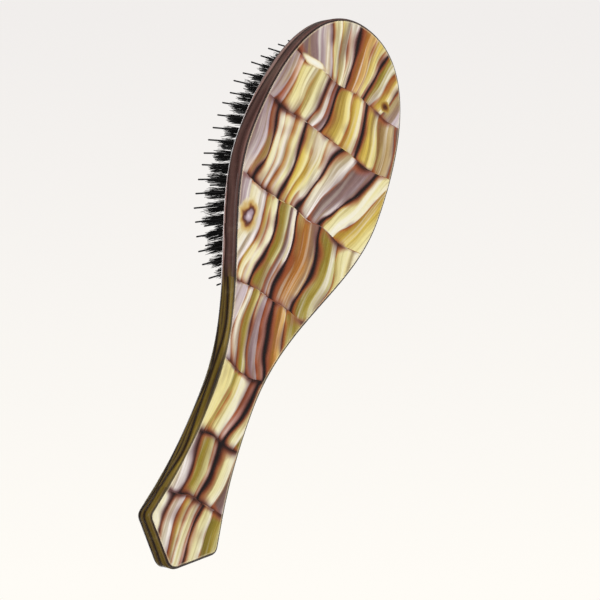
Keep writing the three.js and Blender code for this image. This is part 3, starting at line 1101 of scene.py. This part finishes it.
def bristle(name, low, high, roughness, tip_paleness):
    """Strands whose shade changes from one to the next, a little paler towards their ends."""
    s = Shading(name)
    shade = s.node("ShaderNodeAttribute", attribute_name="strand_shade").outputs["Fac"]
    height = s.split(s.design_point())[2]
    color = s.mix(shade, tint(low), tint(high))
    mottle = s.noise(s.design_point(), scale=1.4)
    color = s.mix(s.times(s.span(mottle, 0.4, 0.7), 0.35), color, tint(low))
    color = s.mix(s.times(s.span(height, 20.0, 28.0), tip_paleness), color, tint("#3A2E28"))
    s.put(s.shader.inputs["Base Color"], color)
    s.put(s.shader.inputs["Roughness"], s.span(mottle, 0.3, 0.7, roughness - 0.07, roughness + 0.08))
    s.set_inputs(Specular_IOR_Level=0.35)
    s.put(s.shader.inputs["Normal"], s.bump(mottle, 0.15, 0.00005))
    return s.material


# ---- Camera, lights and floor, in metres and degrees ----
AIM = Vector((-0.00007, 0.01039, -0.00331))
CAMERA_AZIMUTH = -27.58
CAMERA_ELEVATION = -47.81
CAMERA_ROLL = -91.06
CAMERA_DISTANCE = 0.799
CAMERA_LENS = 128.1
# Each soft light's name, direction from the brush, distance, size and power in watts.
LIGHTS = [
    ("key", (0.1, -0.15, -0.97), 0.9, 0.45, 5.4),
    ("top", (0.0, 0.35, 1.0), 1.0, 1.1, 6.5),
    ("side", (-0.3, -1.0, 0.35), 1.0, 0.5, 0.8),
]
# The strength of the world's light, and of what the polish reflects of it.
EVEN_LIGHT = 0.3
REFLECTED_LIGHT = 0.1
# Half the height, as a share of the distance, over which the backdrop changes colour.
BACKDROP_REACH = 0.13
FLOOR_HALF = 2.0
# How far the floor lies below the brush, so that the two don't share a plane.
FLOOR_GAP = 0.0004


def toward(azimuth, elevation):
    """The direction from the object to a place at that azimuth and elevation, in degrees."""
    a, e = math.radians(azimuth), math.radians(elevation)
    return Vector((math.sin(a) * math.cos(e), -math.cos(a) * math.cos(e), math.sin(e)))


def make_camera():
    """The photograph's view. Returns the direction that is up in the picture."""
    data = bpy.data.cameras.new("camera")
    data.lens = CAMERA_LENS
    data.clip_start = 0.01
    camera = bpy.data.objects.new("camera", data)
    back = toward(CAMERA_AZIMUTH, CAMERA_ELEVATION)
    right = Vector((0, 0, 1)).cross(back).normalized()
    up = back.cross(right)
    roll = math.radians(CAMERA_ROLL)
    turned = right * math.cos(roll) + up * math.sin(roll)
    upright = back.cross(turned)
    camera.rotation_mode = "QUATERNION"
    camera.rotation_quaternion = Matrix((turned, upright, back)).transposed().to_quaternion()
    camera.location = AIM + back * CAMERA_DISTANCE
    bpy.context.scene.collection.objects.link(camera)
    bpy.context.scene.camera = camera
    return upright


def soft_light(name, direction, distance, size, power):
    """A square soft light that shines at the middle of the brush."""
    data = bpy.data.lights.new(name, "AREA")
    data.size = size
    data.energy = power
    light = bpy.data.objects.new(name, data)
    aim = unit(direction)
    light.location = Vector(aim) * distance
    light.rotation_mode = "QUATERNION"
    light.rotation_quaternion = Vector(aim).to_track_quat("Z", "Y")
    light.visible_camera = False
    bpy.context.scene.collection.objects.link(light)


def make_world(picture_up):
    """A pale backdrop for the eye, warmer towards its foot, and a dimmer even light for the object."""
    world = bpy.data.worlds.new("studio")
    world.use_nodes = True
    nodes, links = world.node_tree.nodes, world.node_tree.links
    height = nodes.new("ShaderNodeVectorMath")
    height.operation = "DOT_PRODUCT"
    height.inputs[1].default_value = picture_up
    links.new(nodes.new("ShaderNodeTexCoord").outputs["Generated"], height.inputs[0])
    spread = nodes.new("ShaderNodeMapRange")
    spread.inputs["From Min"].default_value = -BACKDROP_REACH
    spread.inputs["From Max"].default_value = BACKDROP_REACH
    links.new(height.outputs["Value"], spread.inputs["Value"])
    blend = nodes.new("ShaderNodeMix")
    blend.data_type = "RGBA"
    blend.inputs[MIX_FIRST].default_value = tint("#FFFCF6")
    blend.inputs[MIX_SECOND].default_value = tint("#F1EEEC")
    links.new(spread.outputs["Result"], blend.inputs[MIX_FACTOR])
    seen = nodes["Background"]
    links.new(blend.outputs[MIX_RESULT], seen.inputs["Color"])
    lit = nodes.new("ShaderNodeBackground")
    lit.inputs["Color"].default_value = tint("#FFFDFA")
    rays = nodes.new("ShaderNodeLightPath")
    even = nodes.new("ShaderNodeMapRange")
    even.inputs["To Min"].default_value = EVEN_LIGHT
    even.inputs["To Max"].default_value = REFLECTED_LIGHT
    links.new(rays.outputs["Is Glossy Ray"], even.inputs["Value"])
    links.new(even.outputs["Result"], lit.inputs["Strength"])
    choose = nodes.new("ShaderNodeMixShader")
    links.new(rays.outputs["Is Camera Ray"], choose.inputs[0])
    links.new(lit.outputs[0], choose.inputs[1])
    links.new(seen.outputs[0], choose.inputs[2])
    links.new(choose.outputs[0], nodes["World Output"].inputs["Surface"])
    bpy.context.scene.world = world


def make_floor():
    """A pale floor under the brush. It shows only from above, because the picture's own view looks up
    at the brush's back from below the floor's height."""
    mesh = bpy.data.meshes.new("floor")
    corners = [(-1, -1), (1, -1), (1, 1), (-1, 1)]
    points = [(FLOOR_HALF * x, FLOOR_HALF * y, -FLOOR_GAP) for x, y in corners]
    mesh.from_pydata(points, [], [(0, 1, 2, 3)])
    floor = bpy.data.objects.new("floor", mesh)
    bpy.context.scene.collection.objects.link(floor)
    s = Shading("pale_floor")
    where = s.design_point()
    x, y, _ = s.split(where)
    cloud = s.noise(where, scale=0.01)
    s.put(s.shader.inputs["Base Color"], s.mix(cloud, tint("#F3F0EC"), tint("#F8F5F0")))
    s.set_inputs(Roughness=0.8, Emission_Color=tint("#F6F3EE"))
    # It glows more far away, where the lights don't reach, so that its horizon stays pale.
    glow = s.span(s.hypot(x, y), 300.0, 1400.0, 0.22, 0.62, smooth=True)
    s.put(s.shader.inputs["Emission Strength"], glow)
    behind = s.node("ShaderNodeNewGeometry").outputs["Backfacing"]
    choose = s.node("ShaderNodeMixShader")
    s.put(choose.inputs[0], behind)
    s.put(choose.inputs[1], s.shader.outputs[0])
    s.put(choose.inputs[2], s.node("ShaderNodeBsdfTransparent").outputs[0])
    s.put(s.tree.nodes["Material Output"].inputs["Surface"], choose.outputs[0])
    mesh.materials.append(s.material)
    floor.visible_shadow = False
    floor.visible_diffuse = False
    floor.visible_transmission = False


# ---- Assembly ----


def finish_piece(made, material, node, body):
    """Gives a piece its material and slot, hides the part that it stands in for, and makes it ride a body
    if one is named.
    """
    made.data.materials.append(material)
    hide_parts(node)
    if body:
        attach(made, body)


def build():
    rng = np.random.default_rng(SEED)
    finish_piece(make_body(), acetate(), "resin_body", "root")
    cushion = make_cushion()
    finish_piece(cushion, rubber(), "rubber_cushion", None)
    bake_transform(cushion)
    boar = bristle("boar_bristle", "#080708", "#171313", 0.5, 0.25)
    nylon = bristle("nylon_pin", "#070708", "#0E0D0F", 0.36, 0.0)
    for index, row in enumerate(ROWS, start=1):
        tufts = make_tuft_row(index, row, rng)
        finish_piece(tufts, boar, f"tuft_row_{index}", "bristle_field")
        pins = make_pin_row(index, row, rng)
        finish_piece(pins, nylon, f"pin_row_{index}", "bristle_field")


build()
picture_up = make_camera()
make_world(picture_up)
make_floor()
for light_settings in LIGHTS:
    soft_light(*light_settings)
bpy.context.scene.view_settings.view_transform = "Standard"
